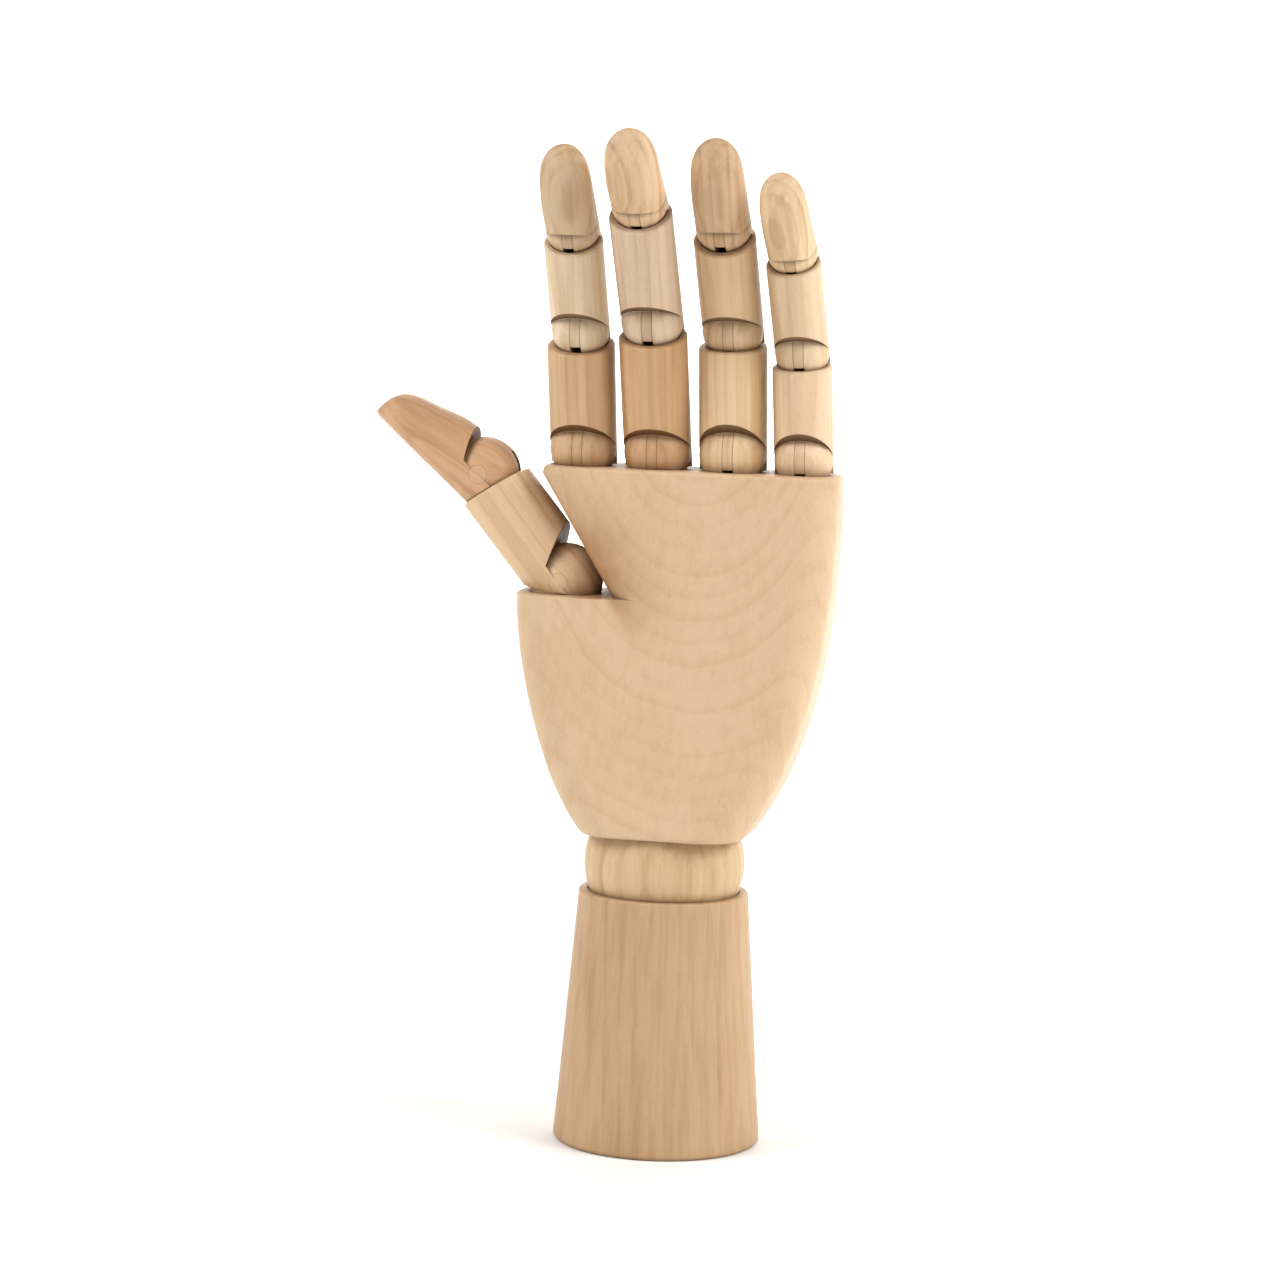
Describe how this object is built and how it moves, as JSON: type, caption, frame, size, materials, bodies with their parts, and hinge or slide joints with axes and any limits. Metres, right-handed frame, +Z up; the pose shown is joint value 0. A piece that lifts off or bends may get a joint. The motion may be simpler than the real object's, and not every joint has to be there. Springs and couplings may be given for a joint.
{
  "type": "wooden hand mannequin",
  "caption": "Jointed wooden left hand on a tapered forearm stand, with a ball wrist and ball-knuckled finger and thumb segments that can be posed for drawing.",
  "frame": {"origin": "centre of the forearm's flat underside", "axes": "+Z up along the forearm, +X towards the little finger, the palm looks along -Y"},
  "size_m": [0.139, 0.0802, 0.2957],
  "materials": {
    "wood_pale": "satin raw wood",
    "wood_honey": "satin raw wood",
    "bright_steel": "bright",
    "spring_steel": "oiled",
    "bush_brass": "bright"
  },
  "bodies": {
    "forearm": {"forearm": "wood_honey", "base_washer": "bright_steel"},
    "wrist_tie": {"wrist_tie": "spring_steel", "wrist_nut": "bright_steel"},
    "wrist_ball": {"wrist_ball": "wood_honey", "wrist_pin": "bright_steel"},
    "palm": {"palm": "wood_pale", "palm_eye_bolt": "bright_steel", "palm_anchor_rod": "bright_steel", "index_link": "spring_steel", "middle_link": "spring_steel", "ring_link": "spring_steel", "little_link": "spring_steel", "thumb_bush": "bush_brass"},
    "thumb_tie": {"thumb_tie": "spring_steel"},
    "thumb_proximal": {"thumb_proximal": "wood_pale", "thumb_proximal_pin": "bright_steel", "thumb_proximal_tie": "spring_steel"},
    "thumb_distal": {"thumb_distal": "wood_honey", "thumb_distal_pin": "bright_steel"},
    "index_proximal": {"index_proximal": "wood_honey", "index_proximal_pin": "bright_steel", "index_proximal_tie": "spring_steel"},
    "index_middle": {"index_middle": "wood_pale", "index_middle_pin": "bright_steel", "index_middle_tie": "spring_steel"},
    "index_distal": {"index_distal": "wood_honey", "index_distal_pin": "bright_steel"},
    "middle_proximal": {"middle_proximal": "wood_honey", "middle_proximal_pin": "bright_steel", "middle_proximal_tie": "spring_steel"},
    "middle_middle": {"middle_middle": "wood_pale", "middle_middle_pin": "bright_steel", "middle_middle_tie": "spring_steel"},
    "middle_distal": {"middle_distal": "wood_pale", "middle_distal_pin": "bright_steel"},
    "ring_proximal": {"ring_proximal": "wood_pale", "ring_proximal_pin": "bright_steel", "ring_proximal_tie": "spring_steel"},
    "ring_middle": {"ring_middle": "wood_honey", "ring_middle_pin": "bright_steel", "ring_middle_tie": "spring_steel"},
    "ring_distal": {"ring_distal": "wood_honey", "ring_distal_pin": "bright_steel"},
    "little_proximal": {"little_proximal": "wood_pale", "little_proximal_pin": "bright_steel", "little_proximal_tie": "spring_steel"},
    "little_middle": {"little_middle": "wood_pale", "little_middle_pin": "bright_steel", "little_middle_tie": "spring_steel"},
    "little_distal": {"little_distal": "wood_pale", "little_distal_pin": "bright_steel"}
  },
  "joints": [
    {"name": "wrist_turn", "type": "hinge", "parent": "forearm", "child": "wrist_tie", "pos_m": [0, 0, 0.0827], "axis": [0, 0, 1], "continuous": true},
    {"name": "wrist_sway", "type": "hinge", "parent": "wrist_tie", "child": "wrist_ball", "pos_m": [0, 0, 0.0827], "axis": [0, 1, 0], "range_deg": [-20, 20]},
    {"name": "wrist_bend", "type": "hinge", "parent": "wrist_ball", "child": "palm", "pos_m": [0, 0, 0.0827], "axis": [1, 0, 0], "range_deg": [-20, 20]},
    {"name": "index_base_bend", "type": "hinge", "parent": "palm", "child": "index_proximal", "pos_m": [-0.0279, 0, 0.20317], "axis": [1, 0, 0], "range_deg": [-14, 48]},
    {"name": "index_middle_bend", "type": "hinge", "parent": "index_proximal", "child": "index_middle", "pos_m": [-0.0279, -0.00866, 0.23791], "axis": [1, 0, 0], "range_deg": [-13, 55]},
    {"name": "index_tip_bend", "type": "hinge", "parent": "index_middle", "child": "index_distal", "pos_m": [-0.0279, -0.02364, 0.26732], "axis": [1, 0, 0], "range_deg": [-15, 37]},
    {"name": "middle_base_bend", "type": "hinge", "parent": "palm", "child": "middle_proximal", "pos_m": [-0.0058, 0, 0.20322], "axis": [0.9998, 0, 0.0175], "range_deg": [-16, 46]},
    {"name": "middle_middle_bend", "type": "hinge", "parent": "middle_proximal", "child": "middle_middle", "pos_m": [-0.00647, -0.01097, 0.24148], "axis": [0.9998, 0, 0.0175], "range_deg": [-16, 52]},
    {"name": "middle_tip_bend", "type": "hinge", "parent": "middle_middle", "child": "middle_distal", "pos_m": [-0.00706, -0.03206, 0.27522], "axis": [0.9998, 0, 0.0175], "range_deg": [-18, 34]},
    {"name": "ring_base_bend", "type": "hinge", "parent": "palm", "child": "ring_proximal", "pos_m": [0.0164, 0, 0.20322], "axis": [0.9998, 0, 0.0175], "range_deg": [-5, 57]},
    {"name": "ring_middle_bend", "type": "hinge", "parent": "ring_proximal", "child": "ring_middle", "pos_m": [0.01577, -0.00314, 0.23908], "axis": [0.9998, 0, 0.0175], "range_deg": [-26, 42]},
    {"name": "ring_tip_bend", "type": "hinge", "parent": "ring_middle", "child": "ring_distal", "pos_m": [0.01525, -0.02127, 0.26925], "axis": [0.9998, 0, 0.0175], "range_deg": [-10, 42]},
    {"name": "little_base_bend", "type": "hinge", "parent": "palm", "child": "little_proximal", "pos_m": [0.0372, 0, 0.2026], "axis": [0.9994, 0, 0.0349], "range_deg": [-6, 56]},
    {"name": "little_middle_bend", "type": "hinge", "parent": "little_proximal", "child": "little_middle", "pos_m": [0.03611, -0.00327, 0.23371], "axis": [0.9986, 0, 0.0523], "range_deg": [-20, 48]},
    {"name": "little_tip_bend", "type": "hinge", "parent": "little_middle", "child": "little_distal", "pos_m": [0.03459, -0.01743, 0.2627], "axis": [0.9976, 0, 0.0698], "range_deg": [-22, 30]},
    {"name": "thumb_swivel", "type": "hinge", "parent": "palm", "child": "thumb_tie", "pos_m": [-0.03205, 0, 0.16429], "axis": [0, 0, 1], "range_deg": [-15, 30]},
    {"name": "thumb_swing", "type": "hinge", "parent": "thumb_tie", "child": "thumb_proximal", "pos_m": [-0.03205, 0, 0.16429], "axis": [0, 1, 0], "range_deg": [-5, 1]},
    {"name": "thumb_tip_bend", "type": "hinge", "parent": "thumb_proximal", "child": "thumb_distal", "pos_m": [-0.05711, 0, 0.19469], "axis": [0, 1, 0], "range_deg": [0, 62]}
  ]
}
